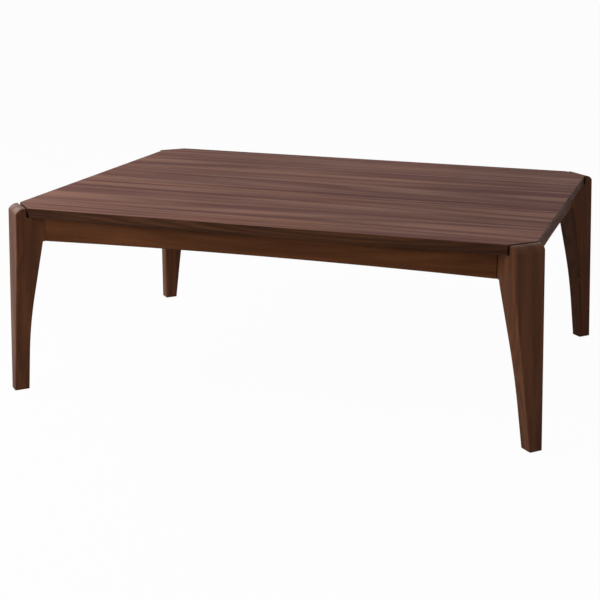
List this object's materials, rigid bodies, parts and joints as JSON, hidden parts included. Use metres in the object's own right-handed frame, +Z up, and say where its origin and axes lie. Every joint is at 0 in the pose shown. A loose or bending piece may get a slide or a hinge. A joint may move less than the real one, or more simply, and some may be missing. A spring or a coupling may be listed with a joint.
{
  "type": "kotatsu table",
  "caption": "Low rectangular heated table: loose veneered top with cut corners held by notched splayed legs, arched aprons and a flat electric heater under the middle.",
  "frame": {"origin": "on the floor under the middle of the table, at the centre of the bounding box's underside", "axes": "+X along the length, to the right seen from the front; -Y is the front; +Z up"},
  "size_m": [1.1136, 0.7872, 0.39],
  "materials": {
    "walnut_veneer": "satin lacquered walnut veneer, straight grain",
    "edge_strip": "dark satin lacquered edge strip",
    "board_core": "raw fibreboard",
    "backing_sheet": "matt brown balancing sheet",
    "stained_leg": "solid wood, dark walnut stain, satin lacquer",
    "stained_apron": "solid wood, dark walnut stain, satin lacquer",
    "rail_wood": "planed softwood",
    "zinc_steel": "zinc plated",
    "glide_plastic": "hard plastic, matt",
    "heater_steel": "heat-proof satin black paint",
    "reflector_alloy": "bright rolled sheet",
    "skirt_resin": "fine spark texture",
    "guard_wire": "brown flocked wire",
    "quartz": "milky quartz glass",
    "coil_wire": "oxidised resistance wire",
    "ceramic": "unglazed white ceramic",
    "socket_resin": "black moulded resin",
    "brass_contact": "plain brass",
    "control_resin": "dark phenolic resin",
    "lead_sleeve": "silicone sleeved wire"
  },
  "bodies": {
    "frame": {"front_left_leg": "stained_leg", "front_right_leg": "stained_leg", "back_left_leg": "stained_leg", "back_right_leg": "stained_leg", "front_apron": "stained_apron", "back_apron": "stained_apron", "left_apron": "stained_apron", "right_apron": "stained_apron", "left_heater_rail": "rail_wood", "right_heater_rail": "rail_wood", "front_heater_rail": "rail_wood", "back_heater_rail": "rail_wood", "corner_plates": "zinc_steel", "hanger_bolts": "zinc_steel", "bolt_washers": "zinc_steel", "bolt_nuts": "zinc_steel", "corner_plate_screws": "zinc_steel", "foot_glides": "glide_plastic", "rail_brackets": "zinc_steel", "rail_bracket_screws": "zinc_steel", "cross_rail_screws": "zinc_steel", "heater_housing": "heater_steel", "heater_reflector": "reflector_alloy", "heater_skirt": "skirt_resin", "heater_guard": "guard_wire", "quartz_tubes": "quartz", "heating_coils": "coil_wire", "tube_holders": "ceramic", "inlet_socket": "socket_resin", "inlet_pins": "brass_contact", "terminal_block": "control_resin", "terminal_screws": "brass_contact", "thermostat": "control_resin", "thermal_fuse": "reflector_alloy", "internal_leads": "lead_sleeve", "heater_screws": "zinc_steel"},
    "tabletop": {"tabletop_core": "board_core", "tabletop_veneer": "walnut_veneer", "tabletop_backing_sheet": "backing_sheet", "front_edge_strip": "edge_strip", "right_edge_strip": "edge_strip", "back_edge_strip": "edge_strip", "left_edge_strip": "edge_strip", "corner_edge_strips": "edge_strip"}
  },
  "joints": [
    {"name": "tabletop_lift", "type": "slide", "parent": "frame", "child": "tabletop", "axis": [0, 0, 1], "range_m": [0, 0.12]}
  ]
}
